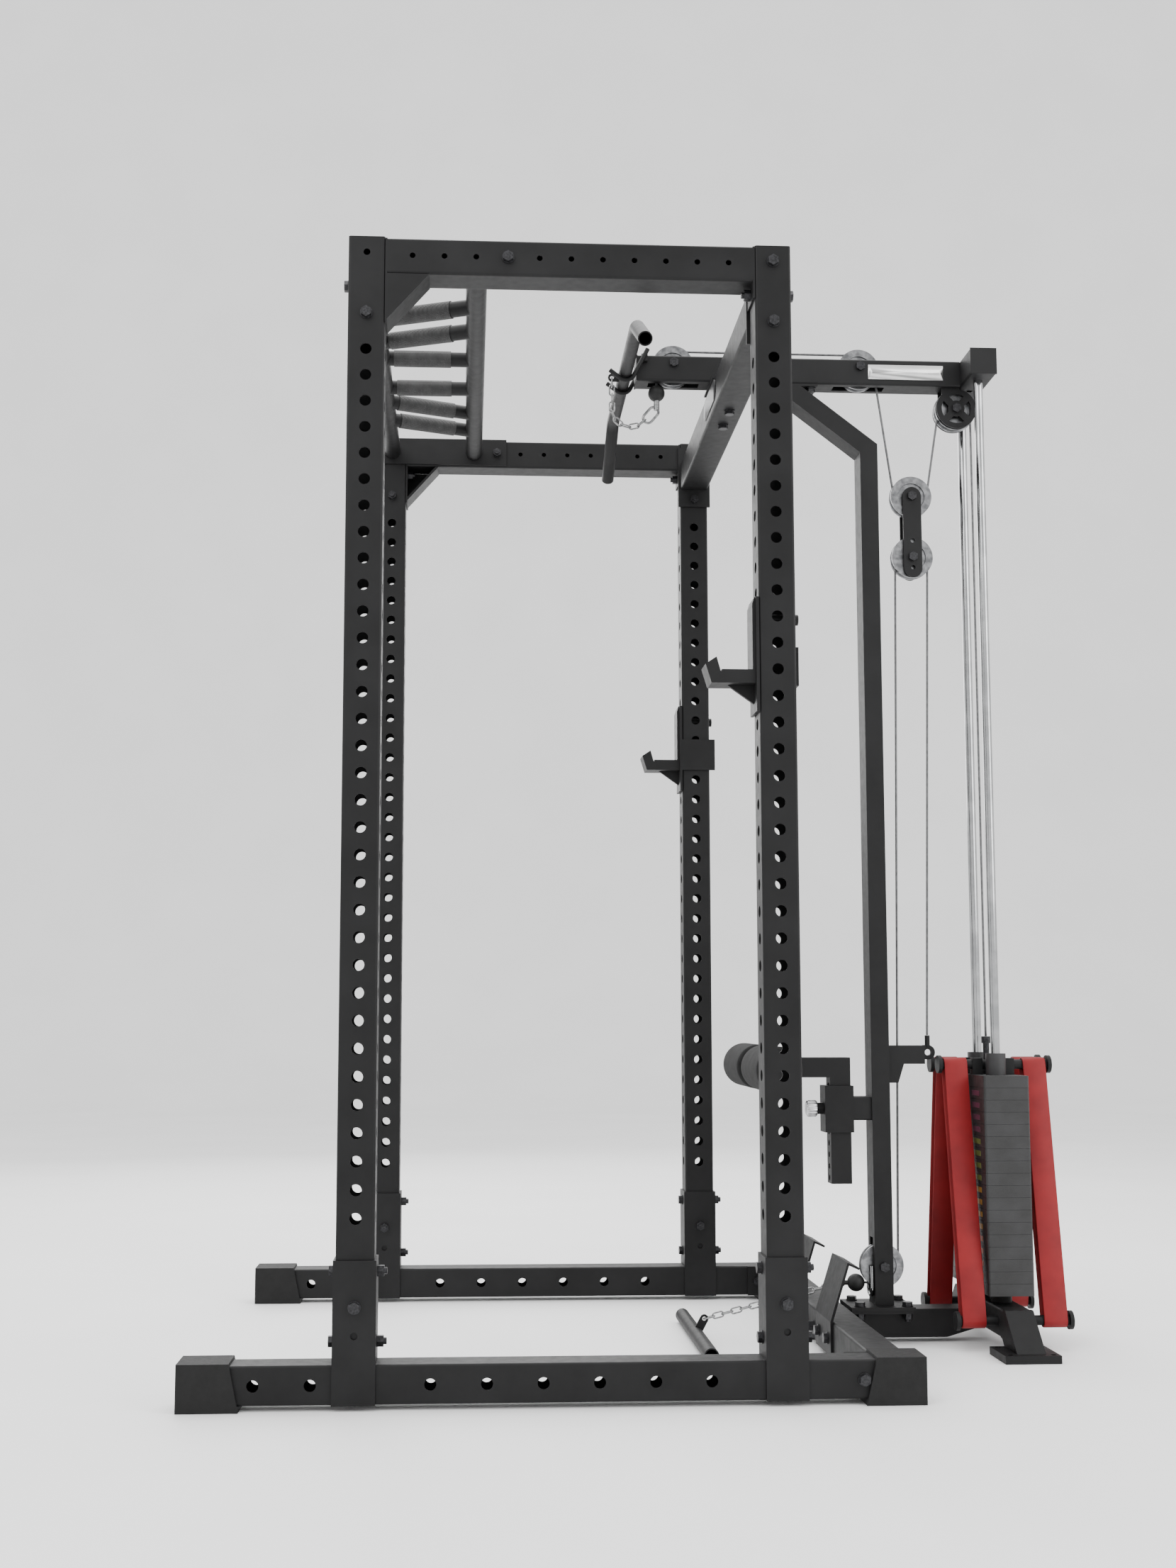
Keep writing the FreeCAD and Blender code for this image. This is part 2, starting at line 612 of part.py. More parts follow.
def cable_anchor():
    """Bracket behind the post with an eye and the crimped cable end it holds."""
    arm = box((POST_REAR, 1207.0), (-20.0, 20.0), (595.0, 635.0))
    arm = arm.cut(box((POST_REAR - 1, 1204.0), (-17.0, 17.0), (598.0, 632.0)))
    gusset_outline = [(POST_REAR, 554.0), (1147.0, 554.0), (1160.0, 595.0), (POST_REAR, 595.0)]
    gusset = side_outline(gusset_outline, (-20.0, 20.0))
    cable_way = rod(1150.0, 0.0, (550.0, 640.0), 6.0)
    lug = box((1207.0, ANCHOR), (-4.0, 4.0), (606.0, 636.0))
    eye = rod(ANCHOR, (-4.0, 4.0), 620.0, 16.0)
    ferrule = rod(ANCHOR, 0.0, (632.0, 657.0), 5.5)
    bracket = weld(arm, gusset, lug, eye, ferrule)
    return bracket.cut([cable_way, rod(ANCHOR, (-5.0, 5.0), 620.0, 7.0)])


def knee_post_sleeve():
    """Square sleeve on a stub in front of the post, with a threaded nut for the pop pin."""
    outside = ((982.0, 1045.0), (-28.0, 28.0))
    sleeve = box(*outside, (447.0, 548.0))
    inside = (KNEE_POST[0] - GAP, KNEE_POST[1] + GAP)
    stub = square_tube((1045.0, POST_FRONT), (-25.0, 25.0), (473.0, 524.0), 0)
    nut = hex_bar((970.0, 982.0), 0.0, 498.0, 24.0)
    shape = weld(sleeve, stub, nut)
    half = KNEE_HALF + GAP
    shape = shape.cut(box(inside, (-half, half), (440.0, 555.0)))
    return shape.cut(rod((965.0, inside[0]), 0.0, 498.0, 6.0 + RUNNING_GAP))


def low_cable_guide():
    """A bent rod either side of the cable where it leaves the low pulley."""
    x, y, bend = POST_FRONT - 4.0, 18.0, 18.0
    low = 114.0
    edges = [line((x, -y, 160.0), (x, -y, low)), arc((x, -y, low), (x, 0.0, low - bend), (x, y, low))]
    edges.append(line((x, y, low), (x, y, 160.0)))
    return sweep(edges, 4.0)


def peg(y, z):
    """A round peg along X with a disc at each end to keep the bands on."""
    bar = rod(PEG_SPAN, y, z, PEG_RADIUS)
    front, rear = PEG_SPAN
    return weld(bar, rod((front, front + 8.0), y, z, 19.5), rod((rear - 8.0, rear), y, z, 19.5))


def lower_band_pegs():
    return [peg(s * LOWER_PEG[0], LOWER_PEG[1]) for s in (-1, 1)]


def upper_band_pegs():
    """Pegs carried on two blocks each, which stand on the head plate."""
    pegs = []
    for side in (-1, 1):
        y, z = side * UPPER_PEG[0], UPPER_PEG[1]
        blocks = [box((x, x + 22.0), (y - 11.5, y + 11.5), (STACK_TOP, 608.0)) for x in (1306.0, 1376.0)]
        pegs.append(weld(peg(y, z), *blocks))
    return pegs


def weight_plate(index):
    """One iron plate with rod holes, a stem hole and a pin hole in its front edge."""
    low = STACK_FLOOR + PLATE_PITCH * index
    length, width = PLATE_SIZE
    x = (STACK - length / 2, STACK + length / 2)
    plate = box(x, (-width / 2, width / 2), (low, low + PLATE_THICK))
    corners = [edge for edge in plate.Edges if abs(edge.BoundBox.ZLength - PLATE_THICK) < 0.01]
    plate = plate.makeFillet(5.0, corners)
    for side in (-1, 1):
        plate = plate.cut(rod(STACK, side * ROD_OFFSET, (low - 1, low + 30), ROD_RADIUS + 0.6))
    plate = plate.cut(rod(STACK, 0.0, (low - 1, low + 30), SPINE_RADIUS + 0.4))
    middle = low + PLATE_THICK / 2
    return plate.cut(rod((x[0] - 1, STACK), 0.0, middle, PIN_RADIUS + RUNNING_GAP))


def selector_stem():
    """Rod through every plate with a hole for the pin at each, and a slim neck up to the cable."""
    low = STACK_FLOOR + 3.0
    spine = rod(STACK, 0.0, (low, STACK_TOP + 8.0), SPINE_RADIUS)
    neck = rod(STACK, 0.0, (STACK_TOP + 8.0, 640.0), STEM_RADIUS)
    head = rod(STACK, 0.0, (640.0, 655.0), 10.0)
    stem = weld(spine, neck, head)
    for index in range(PLATE_COUNT):
        height = STACK_FLOOR + PLATE_PITCH * index + PLATE_THICK / 2
        stem = stem.cut(rod((STACK - 20, STACK + 20), 0.0, height, PIN_RADIUS + RUNNING_GAP))
    return stem


def guide_collars():
    return [ring(STACK, s * ROD_OFFSET, (STACK_TOP, 619.0), 21.5, ROD_RADIUS + 0.4) for s in (-1, 1)]


def selector_pin():
    """Pin with a round pull knob, pushed through plate and stem."""
    front = STACK - PLATE_SIZE[0] / 2
    shank = rod((front - 4.0, STACK + 9.0), 0.0, PIN_HEIGHT, PIN_RADIUS)
    knob = rod((front - 32.0, front - 4.0), 0.0, PIN_HEIGHT, 12.0)
    return weld(shank, knob.makeFillet(3.0, knob.Edges))


def band(side, offset):
    """A flat latex loop round a lower peg and an upper peg."""
    lower = Vector(0, side * LOWER_PEG[0], LOWER_PEG[1])
    upper = Vector(0, side * UPPER_PEG[0], UPPER_PEG[1])
    middle = (PEG_SPAN[0] + PEG_SPAN[1]) / 2 + offset
    inner = PEG_RADIUS + GAP
    loops = []
    for radius in (inner + BAND_THICK, inner):
        run = upper - lower
        across = Vector(0, -run.z, run.y).normalize() * radius
        along = Vector(run).normalize() * radius
        shift = Vector(middle - BAND_WIDTH / 2, 0, 0)
        points = [lower + across, upper + across, upper + along, upper - across]
        points += [lower - across, lower - along]
        points = [point + shift for point in points]
        edges = [Part.makeLine(points[0], points[1])]
        edges.append(Part.Arc(points[1], points[2], points[3]).toShape())
        edges.append(Part.makeLine(points[3], points[4]))
        edges.append(Part.Arc(points[4], points[5], points[0]).toShape())
        loops.append(Part.Face(Part.Wire(edges)).extrude(Vector(BAND_WIDTH, 0, 0)))
    return loops[0].cut(loops[1])


def resistance_bands():
    return [band(side, offset) for side in (-1, 1) for offset in (-BAND_OFFSET, BAND_OFFSET)]


def cable_edges(stops):
    """Straight runs and arcs round circles, from stops of (x, z, turn radius).

    The radius is positive where the cable turns clockwise, negative where it turns the
    other way, and zero at an end.
    """
    touches = []
    for (x1, z1, r1), (x2, z2, r2) in zip(stops, stops[1:]):
        gap = hypot(x2 - x1, z2 - z1)
        heading = atan2(z2 - z1, x2 - x1) - asin((r1 - r2) / gap)
        normal = (-sin(heading), cos(heading))
        first = (x1 + r1 * normal[0], z1 + r1 * normal[1])
        second = (x2 + r2 * normal[0], z2 + r2 * normal[1])
        touches.append((first, second))
    edges = []
    for index, (first, second) in enumerate(touches):
        edges.append(line((first[0], 0, first[1]), (second[0], 0, second[1])))
        if index + 1 < len(touches):
            edges.append(turn(stops[index + 1], second, touches[index + 1][0]))
    return edges


def turn(stop, start, end):
    """The arc round one circle from where a cable arrives to where it leaves."""
    x, z, radius = stop
    first = atan2(start[1] - z, start[0] - x)
    last = atan2(end[1] - z, end[0] - x)
    if radius > 0 and last > first:
        last -= 2 * pi
    if radius < 0 and last < first:
        last += 2 * pi
    middle = (first + last) / 2
    size = abs(radius)
    centre = (x + size * cos(middle), 0, z + size * sin(middle))
    return arc((start[0], 0, start[1]), centre, (end[0], 0, end[1]))


LAT_ROUTE = [
    (LAT_BALL[0], LAT_BALL[1] + BALL_RADIUS + GAP, 0.0),
    (*FRONT_PULLEY, RUN_RADIUS),
    (*MIDDLE_PULLEY, RUN_RADIUS),
    (*UPPER_WHEEL, -RUN_RADIUS),
    (*STACK_PULLEY, RUN_RADIUS),
    (STACK, 655.0 + GAP, 0.0),
]
ROW_ROUTE = [
    (ROW_BALL[0] + BALL_RADIUS + GAP, ROW_BALL[1], 0.0),
    (*LOW_PULLEY, -RUN_RADIUS),
    (*LOWER_WHEEL, RUN_RADIUS),
    (ANCHOR, 657.5, 0.0),
]


def lat_cable():
    return sweep(cable_edges(LAT_ROUTE), CABLE_RADIUS)


def row_cable():
    return sweep(cable_edges(ROW_ROUTE), CABLE_RADIUS)


def lat_ball_stop():
    """Rubber ball at the end of the lat cable."""
    return Part.makeSphere(BALL_RADIUS, Vector(LAT_BALL[0], 0, LAT_BALL[1]))


def row_ball_stop():
    """Rubber ball with its swivel shank and eye, at the end of the row cable."""
    x, z = ROW_BALL
    ball = Part.makeSphere(BALL_RADIUS, Vector(x, 0, z))
    shank = rod((x - 28.0, x - BALL_RADIUS + 2.0), 0.0, z, 5.0)
    eye = rod(x - 33.0, (-3.0, 3.0), z, 9.0).cut(rod(x - 33.0, (-3.0, 3.0), z, 5.0))
    return weld(ball, shank, eye)


def lat_carabiner():
    """Swivel under the ball and the snap hook that leans from it towards the chain."""
    x, z = LAT_BALL
    low = z - BALL_RADIUS
    swivel = rod(x, 0.0, (low - 20.0, low + 1.0), 6.5).cut(lat_ball_stop())
    half = 11.0
    top = low - 16.0 - half
    bottom = low - 16.0 - HOOK_LENGTH
    edges = [line((x - half, 0, bottom + half), (x - half, 0, top))]
    edges.append(arc((x - half, 0, top), (x, 0, top + half), (x + half, 0, top)))
    edges.append(line((x + half, 0, top), (x + half, 0, bottom + half)))
    edges.append(arc((x + half, 0, bottom + half), (x, 0, bottom), (x - half, 0, bottom + half)))
    hook = sweep(edges, 3.0)
    hook.rotate(Vector(x, 0, low - 16.0), Vector(0, 1, 0), HOOK_TILT)
    return weld(swivel, hook)


def chain_link(centre, heading, rolled):
    """A welded link whose long axis follows the heading in the XZ plane."""
    half = CHAIN_WIDTH / 2 - CHAIN_WIRE
    straight = CHAIN_LENGTH / 2 - CHAIN_WIRE - half
    edges = [line((-straight, half, 0), (straight, half, 0))]
    edges.append(arc((straight, half, 0), (straight + half, 0, 0), (straight, -half, 0)))
    edges.append(line((straight, -half, 0), (-straight, -half, 0)))
    edges.append(arc((-straight, -half, 0), (-straight - half, 0, 0), (-straight, half, 0)))
    link = sweep(edges, CHAIN_WIRE)
    roll = Rotation(Vector(1, 0, 0), 90.0 if rolled else 0.0)
    pitch = Rotation(Vector(0, 1, 0), -heading)
    link.Placement = Placement(Vector(centre[0], 0, centre[1]), pitch * roll)
    return link


def row_chain():
    """A straight run of links from the ball's eye to the handle's eye."""
    start = Vector(ROW_BALL[0] - 33.0, 0, ROW_BALL[1])
    run = Vector(HANDLE_EYE[0], 0, HANDLE_EYE[1]) - start
    count = 15
    step = (run.Length - 2 * CHAIN_REACH) / (count - 1)
    heading = atan2(run.z, run.x) * 180 / pi
    direction = Vector(run).normalize()
    links = []
    for index in range(count):
        centre = start + direction * (CHAIN_REACH + step * index)
        links.append(chain_link((centre.x, centre.z), heading, index % 2 == 1))
    return links


def lat_chain():
    """Links that hang from the bar's eye, turn under and rise to the snap hook."""
    tilt = radians(HOOK_TILT)
    reach = HOOK_LENGTH - 3.0 - CHAIN_WIRE - HOOK_CLEAR
    pivot = (LAT_BALL[0], LAT_BALL[1] - BALL_RADIUS - 16.0)
    hooked = (pivot[0] - reach * sin(tilt), pivot[1] - reach * cos(tilt))
    bend = (hooked[0] - LAT_EYE[0]) / 2 + 1.0
    drop = LAT_EYE[1] - CHAIN_REACH
    low = CHAIN_LOW
    rise = pi + asin((low - hooked[1]) / bend)
    count = 9
    last = drop - low + bend * (2 * pi - rise) - (CHAIN_LENGTH / 2 - CHAIN_WIRE)
    links = []
    for index in range(count):
        travel = last * index / (count - 1)
        angle = pi + max(0.0, travel - (drop - low)) / bend
        height = max(low, drop - travel)
        centre = (LAT_EYE[0] + bend + bend * cos(angle), height + bend * sin(angle))
        links.append(chain_link(centre, angle * 180 / pi + 90.0, index % 2 == 1))
    return links


def lug(bar, eye, bar_radius):
    """A flat eye plate that joins a bar to the end of its chain."""
    x, z = eye
    end = rod(x, (-2.5, 2.5), z, 9.0)
    dx, dz = bar[0] - x, bar[1] - z
    length = hypot(dx, dz)
    nx, nz = -dz / length * 9.0, dx / length * 9.0
    corners = [(x + nx, z + nz), (bar[0] + nx, bar[1] + nz), (bar[0] - nx, bar[1] - nz), (x - nx, z - nz)]
    web = side_outline(corners, (-2.5, 2.5))
    return weld(end, web).cut(rod(x, (-3.0, 3.0), z, 4.5)).cut(rod(bar[0], (-3.0, 3.0), bar[1], bar_radius))


def lat_bar():
    """Round bar with both ends bent down, and an eye plate in the middle."""
    x, z = LAT_BAR
    flat, reach, drop = 280.0, 465.0, 94.0
    slope = atan2(drop, reach - 297.0)
    bend = 70.0
    edges = []
    centre_z = z - bend
    turn_y = flat + bend * sin(slope)
    turn_z = centre_z + bend * cos(slope)
    half = (flat + bend * sin(slope / 2), centre_z + bend * cos(slope / 2))
    tip = (reach, turn_z - (reach - turn_y) * tan(slope))
    edges.append(line((x, -tip[0], tip[1]), (x, -turn_y, turn_z)))
    edges.append(arc((x, -turn_y, turn_z), (x, -half[0], half[1]), (x, -flat, z)))
    edges.append(line((x, -flat, z), (x, flat, z)))
    edges.append(arc((x, flat, z), (x, half[0], half[1]), (x, turn_y, turn_z)))
    edges.append(line((x, turn_y, turn_z), (x, tip[0], tip[1])))
    tube = sweep(edges, LAT_BAR_RADIUS).cut(sweep(edges, LAT_BAR_RADIUS - 2.5))
    return weld(tube, lug(LAT_BAR, LAT_EYE, LAT_BAR_RADIUS - 1.0))


def row_handle():
    """Straight bar that rests on the floor, with an eye plate in the middle."""
    x, z = HANDLE
    tube = rod(x, (-240.0, 240.0), z, 15.5).cut(rod(x, (-241.0, 241.0), z, 13.0))
    return weld(tube, lug(HANDLE, HANDLE_EYE, 14.5))


def block_plates():
    """Two round-ended side plates that carry both block wheels."""
    plates = []
    for side in (-1, 1):
        y = (side * 13.0, side * 17.0)
        x = UPPER_WHEEL[0]
        low, high = 1711.0, UPPER_WHEEL[1]
        plate = weld(box((x - 21, x + 21), y, (low, high)), rod(x, y, low, 21.0), rod(x, y, high, 21.0))
        for z in (1713.0, 1775.0):
            plate = plate.cut(rod(x, y, z, 5.0))
        for centre in (UPPER_WHEEL, LOWER_WHEEL):
            plate = plate.cut(rod(centre[0], y, centre[1], AXLE_RADIUS))
        plates.append(plate)
    return plates


def block_axles():
    return [axle(centre, 17.0, 6.0) for centre in (UPPER_WHEEL, LOWER_WHEEL)]


def j_cup():
    """The right-hand cup: base plate, locating pin, arm with a raised lip, side plate and rear lip."""
    y = -HALF_WIDTH
    face = CUP_FACE - GAP
    inside = -INNER + GAP
    width = (y - 37.0, inside + 5.0)
    base = box((face - 6.0, face), width, (1272.0, 1491.0))
    pin = rod((face, 827.0), y, CUP_PIN_HEIGHT, HOLE_RADIUS - 0.35)
    side_plate = box((face - 6.0, 830.0), (inside, inside + 5.0), (1325.0, 1404.0))
    rear = BAY + TUBE / 2 + GAP
    rear_lip = box((rear, 830.0), (y + 10.0, inside + 5.0), (1329.0, 1404.0))
    arm = side_outline([(face - 6.0, 1347.0), (674.0, 1347.0), (666.0, 1376.0), (645.0, 1362.0),
                        (656.0, 1326.0), (face - 6.0, 1326.0)], (y - 30.0, y + 30.0))
    brace = side_outline([(face - 6.0, 1290.0), (face - 6.0, 1326.0), (690.0, 1326.0)],
                         (y - 4.0, y + 4.0))
    return weld(base, pin, side_plate, rear_lip, arm, brace)


def j_cup_liner():
    """Plastic pads on the face and the floor of the cup."""
    y = -HALF_WIDTH
    face = CUP_FACE - GAP - 6.0
    back = side_outline([(face, 1347.0), (face, 1491.0), (face - 2.0, 1491.0), (face - 6.0, 1478.0),
                         (face - 6.0, 1352.0), (676.0, 1352.0), (676.0, 1347.0)],
                        (y - 30.0, y + 30.0))
    return back


def knee_post():
    """L-shaped square post with adjusting holes and the bar that carries both rollers."""
    post = box(KNEE_POST, (-KNEE_HALF, KNEE_HALF), (336.0, 609.0))
    arm = box((ROLLER[0] - 22.0, KNEE_POST[0]), (-KNEE_HALF, KNEE_HALF), (566.0, 609.0))
    hollow = box((KNEE_POST[0] + WALL, KNEE_POST[1] - WALL), (WALL - KNEE_HALF, KNEE_HALF - WALL),
                 (330.0, 563.0))
    bar = rod(ROLLER[0], (-243.0, 243.0), ROLLER[1], 12.5)
    caps = [rod(ROLLER[0], (s * 238.0, s * 243.0), ROLLER[1], 22.0) for s in (-1, 1)]
    shape = weld(post.cut(hollow), arm, bar, *caps)
    heights = [348.0 + 25.0 * step for step in range(9)]
    holes = [rod((KNEE_POST[0] - 1, KNEE_POST[0] + 5), 0.0, z, 6.5) for z in heights]
    return shape.cut(holes)


def knee_roller(side):
    y = (side * 24.0, side * 235.0)
    return ring(ROLLER[0], y, ROLLER[1], ROLLER_RADIUS, 12.5 + GAP)


def pop_pin():
    """Spring pull pin: a ribbed knob and a plain shank that stops just short of the post."""
    knob = rod((945.0, 969.0), 0.0, 498.0, 18.5)
    shank = rod((969.0, 993.5), 0.0, 498.0, 6.0)
    return weld(knob.makeChamfer(2.0, [e for e in knob.Edges if e.Closed]), shank)


def save(name, solids):
    """Write one sub-part, moved so that the origin is at the footprint's middle."""
    pieces = solids if isinstance(solids, list) else [solids]
    pieces = [piece.Solids[0].copy() for piece in pieces]
    for piece in pieces:
        piece.translate(Vector(ORIGIN_SHIFT, 0, 0))
    shape = pieces[0] if len(pieces) == 1 else Part.makeCompound(pieces)
    shape.exportStep("parts/" + name + ".step")


def sub_parts():
    """Every named sub-part with its solid, or its list of solids."""
    yield "upright_front_right", upright(0.0, -1)
    yield "upright_front_left", upright(0.0, 1)
    yield "upright_rear_right", upright(BAY, -1)
    yield "upright_rear_left", upright(BAY, 1)
    yield "base_rail_right", base_rail(-1)
    yield "base_rail_left", base_rail(1)
    yield "rail_boots", [rail_boot(end, side) for end in ("front", "rear") for side in (-1, 1)]
    yield "foot_sleeves", [foot_sleeve(x, side) for x, side in CORNERS]
    yield "side_beam_right", side_beam(-1)
    yield "side_beam_left", side_beam(1)
    yield "top_crossbeam", top_crossbeam()
    yield "blank_badges", blank_badges()
    yield "pull_up_frame", pull_up_frame()
    yield "pull_up_grips", pull_up_grips()
    yield "floor_crossmember", floor_crossmember()
    yield "footrests", footrests()
    yield "tower_floor_beam", tower_floor_beam()
    yield "stack_base", stack_base()
    yield "tower_post", tower_post()
    yield "lat_beam", lat_beam()
    yield "pulley_axles", pulley_axles()
    yield "stack_pulley_cover", stack_pulley_cover()
    yield "guide_rods", guide_rods()
    yield "stack_bumpers", stack_bumpers()
    yield "cable_anchor", cable_anchor()
    yield "knee_post_sleeve", knee_post_sleeve()
    yield "low_cable_guide", low_cable_guide()
    yield "lower_band_pegs", lower_band_pegs()
    yield "frame_bolts", [bolt(place) for place in BOLTS]
    yield "weight_plates_resting", [weight_plate(index) for index in range(PLATES_DOWN)]
    yield "weight_plates_selected", [weight_plate(i) for i in range(PLATES_DOWN, PLATE_COUNT - 1)]
    yield "head_plate", weight_plate(PLATE_COUNT - 1)
    yield "selector_stem", selector_stem()
    yield "guide_collars", guide_collars()
    yield "upper_band_pegs", upper_band_pegs()
    yield "selector_pin", selector_pin()
    yield "resistance_bands", resistance_bands()
    yield "lat_cable", lat_cable()
    yield "row_cable", row_cable()
    yield "lat_ball_stop", lat_ball_stop()
    yield "lat_carabiner", lat_carabiner()
    yield "lat_chain", lat_chain()
    yield "lat_bar", lat_bar()
    yield "row_ball_stop", row_ball_stop()
    yield "row_chain", row_chain()
    yield "row_handle", row_handle()
    yield "block_plates", block_plates()
    yield "block_axles", block_axles()
    yield "upper_block_wheel", pulley(UPPER_WHEEL)
    yield "lower_block_wheel", pulley(LOWER_WHEEL)
    yield "front_pulley", pulley(FRONT_PULLEY)
    yield "middle_pulley", pulley(MIDDLE_PULLEY)
    yield "stack_pulley", pulley(STACK_PULLEY)
    yield "low_pulley", pulley(LOW_PULLEY)
    yield "j_cup_right", [j_cup(), j_cup_liner()]
    yield "j_cup_left", [other_side(j_cup()), other_side(j_cup_liner())]
    yield "knee_post", knee_post()
    yield "knee_roller_right", knee_roller(-1)
    yield "knee_roller_left", knee_roller(1)
    yield "pop_pin", pop_pin()


os.makedirs("parts", exist_ok=True)
for part_name, part_solids in sub_parts():
    save(part_name, part_solids)
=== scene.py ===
import json
import math

import bmesh
import bpy
from mathutils import Matrix, Vector


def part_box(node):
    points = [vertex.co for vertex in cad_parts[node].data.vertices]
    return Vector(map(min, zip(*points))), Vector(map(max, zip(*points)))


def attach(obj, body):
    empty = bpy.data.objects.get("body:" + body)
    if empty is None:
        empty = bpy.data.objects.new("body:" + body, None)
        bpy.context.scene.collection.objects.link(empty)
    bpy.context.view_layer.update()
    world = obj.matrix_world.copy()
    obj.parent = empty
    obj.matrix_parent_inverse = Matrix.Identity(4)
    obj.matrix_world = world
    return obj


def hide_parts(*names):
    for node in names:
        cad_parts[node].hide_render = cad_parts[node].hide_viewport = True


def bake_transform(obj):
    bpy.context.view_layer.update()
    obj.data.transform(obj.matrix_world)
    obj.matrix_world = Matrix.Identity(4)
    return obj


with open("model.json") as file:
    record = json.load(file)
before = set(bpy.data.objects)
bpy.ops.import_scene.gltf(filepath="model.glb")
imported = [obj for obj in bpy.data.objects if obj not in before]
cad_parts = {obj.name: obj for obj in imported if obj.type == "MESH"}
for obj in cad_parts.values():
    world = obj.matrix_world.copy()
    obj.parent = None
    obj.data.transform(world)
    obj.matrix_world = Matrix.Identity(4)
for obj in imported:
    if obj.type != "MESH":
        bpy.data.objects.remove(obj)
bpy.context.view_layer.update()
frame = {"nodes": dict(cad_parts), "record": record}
NODES = frame["nodes"]

# Sizes in metres. The frame gives places; these are the sizes it doesn't carry.
BAND_WIDTH = 0.051
BAND_THICK = 0.0045
PEG_RADIUS = 0.0108          # where a band lies on a peg
PEG_HEAD_RADIUS = 0.0195
BAND_OFFSET = 0.087          # front or rear band to the middle of the pegs
PLATE_COUNT = 18             # with the head plate
PLATES_RESTING = 8
PLATE_GAP = 0.0004
LABEL_HEIGHT = 0.0126        # label centre above its plate's underside
LABEL_SPAN = (0.052, 0.106)  # from the middle plane outwards
FAR = 3.0                    # beyond every piece
BADGE_SPLIT = 0.3            # between the crossbeam badge and the beam plate


def middle(node):
    low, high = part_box(node)
    return (Vector(low) + Vector(high)) / 2


# ---------------------------------------------------------------- camera and light

def add_camera():
    """The viewing place and lens, from in front of the right side at chest height."""
    data = bpy.data.cameras.new("camera")
    camera = bpy.data.objects.new("camera", data)
    bpy.context.collection.objects.link(camera)
    camera.location = (-0.38674, -3.81429, 0.70425)
    yaw, pitch = 0.0540038, 0.1040143
    camera.rotation_euler = (math.pi / 2 + pitch, 0.0, -yaw)
    data.sensor_fit = "VERTICAL"
    data.sensor_height = 36.0
    data.lens = 39.755
    data.shift_x = 0.0181
    data.shift_y = 0.0314
    bpy.context.scene.camera = camera


def add_light(name, place, target, size, power):
    data = bpy.data.lights.new(name, "AREA")
    data.shape = "RECTANGLE"
    data.size = size[0]
    data.size_y = size[1]
    data.energy = power
    lamp = bpy.data.objects.new(name, data)
    bpy.context.collection.objects.link(lamp)
    lamp.location = place
    lamp.rotation_euler = (Vector(target) - Vector(place)).to_track_quat("-Z", "Y").to_euler()


def add_studio():
    """Large soft lights over a plain pale floor."""
    add_light("key_light", (-2.6, -3.6, 4.2), (0.0, 0.0, 1.0), (2.6, 2.6), 90.0)
    add_light("fill_light", (3.6, -3.0, 2.6), (0.2, 0.0, 1.0), (2.4, 3.0), 100.0)
    add_light("top_light", (0.0, 0.6, 4.4), (0.0, 0.0, 0.0), (4.0, 4.0), 170.0)
    add_light("back_light", (-1.0, 4.2, 2.8), (0.0, 0.0, 1.2), (3.6, 2.4), 110.0)
    world = bpy.data.worlds.new("studio")
    bpy.context.scene.world = world
    world.use_nodes = True
    sky = world.node_tree.nodes["Background"]
    sky.inputs["Color"].default_value = (1.0, 1.0, 1.0, 1.0)
    sky.inputs["Strength"].default_value = 1.45


def add_floor():
    """A floor that curves up into a backdrop far behind the object."""
    mesh = bpy.data.meshes.new("floor")
    work = bmesh.new()
    profile = [(-14.0, 0.0), (9.0, 0.0)]
    bend = 3.0
    for step in range(1, 13):
        angle = step * math.pi / 24
        profile.append((9.0 + bend * math.sin(angle), bend - bend * math.cos(angle)))
    profile.append((12.0, 14.0))
    rows = [[work.verts.new((x, y, z)) for x in (-16.0, 16.0)] for y, z in profile]
    for lower, upper in zip(rows, rows[1:]):
        work.faces.new((lower[0], lower[1], upper[1], upper[0]))
    work.to_mesh(mesh)
    work.free()
    floor = bpy.data.objects.new("floor", mesh)
    bpy.context.collection.objects.link(floor)
    for face in mesh.polygons:
        face.use_smooth = True
    floor.location.z = -0.0005
    floor.data.materials.append(floor_material())


# ---------------------------------------------------------------- materials

